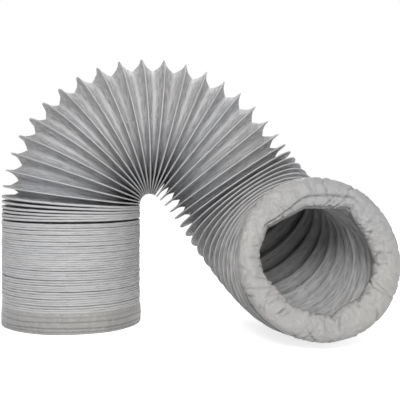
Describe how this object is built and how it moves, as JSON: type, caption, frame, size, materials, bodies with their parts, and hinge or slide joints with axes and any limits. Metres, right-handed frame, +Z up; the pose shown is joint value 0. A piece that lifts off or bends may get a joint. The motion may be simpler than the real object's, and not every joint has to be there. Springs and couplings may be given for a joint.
{
  "type": "flexible air duct",
  "caption": "Flexible air duct: pleated coated-fabric sleeve on a spring wire, standing as a closed stack, arched over and turned forward to an open mouth with its end cuff tucked in.",
  "frame": {"origin": "centre of the foot cuff's mouth, on the floor that the duct stands on", "axes": "+Z up along the foot cuff and the stack, +X towards the side that the arch drops to, -Y towards the side that the open mouth faces"},
  "size_m": [0.4059, 0.2526, 0.2947],
  "materials": {
    "duct_fabric": "grey PVC-coated polyester fabric with a soft sheen",
    "cuff_fabric": "the same coated fabric, plain and hemmed",
    "spring_wire": "drawn spring steel, bare inside the fabric"
  },
  "bodies": {
    "foot": {"foot_cuff": "cuff_fabric", "foot_sleeve": "duct_fabric", "foot_wire": "spring_wire"},
    "shoulder": {"column_sleeve": "duct_fabric", "column_wire": "spring_wire", "shoulder_sleeve": "duct_fabric", "shoulder_wire": "spring_wire"},
    "crown": {"rise_sleeve": "duct_fabric", "rise_wire": "spring_wire", "crown_sleeve": "duct_fabric", "crown_wire": "spring_wire"},
    "elbow": {"fall_sleeve": "duct_fabric", "fall_wire": "spring_wire", "elbow_sleeve": "duct_fabric", "elbow_wire": "spring_wire"},
    "mouth": {"bend_sleeve": "duct_fabric", "bend_wire": "spring_wire", "neck_sleeve": "duct_fabric", "neck_wire": "spring_wire", "mouth_cuff": "cuff_fabric"}
  },
  "joints": [
    {"name": "column_stretch", "type": "slide", "parent": "foot", "child": "shoulder", "axis": [0, 0, 1], "range_m": [0, 1], "deforming": ["column_sleeve", "column_wire"]},
    {"name": "arch_fold", "type": "hinge", "parent": "shoulder", "child": "crown", "pos_m": [0.0786, 0.0005, 0.1383], "axis": [-0.0801, 0.9968, 0], "range_deg": [-60, 20], "deforming": ["rise_sleeve", "rise_wire"]},
    {"name": "arch_swing", "type": "hinge", "parent": "crown", "child": "elbow", "pos_m": [0.0936, 0.0014, 0.1404], "axis": [0, 0, 1], "range_deg": [-30, 30], "deforming": ["fall_sleeve", "fall_wire"]},
    {"name": "mouth_bend", "type": "hinge", "parent": "elbow", "child": "mouth", "pos_m": [0.1964, -0.0805, 0.1455], "axis": [-0.8342, -0.1591, -0.5281], "range_deg": [-60, 35], "deforming": ["bend_sleeve", "bend_wire"]}
  ]
}
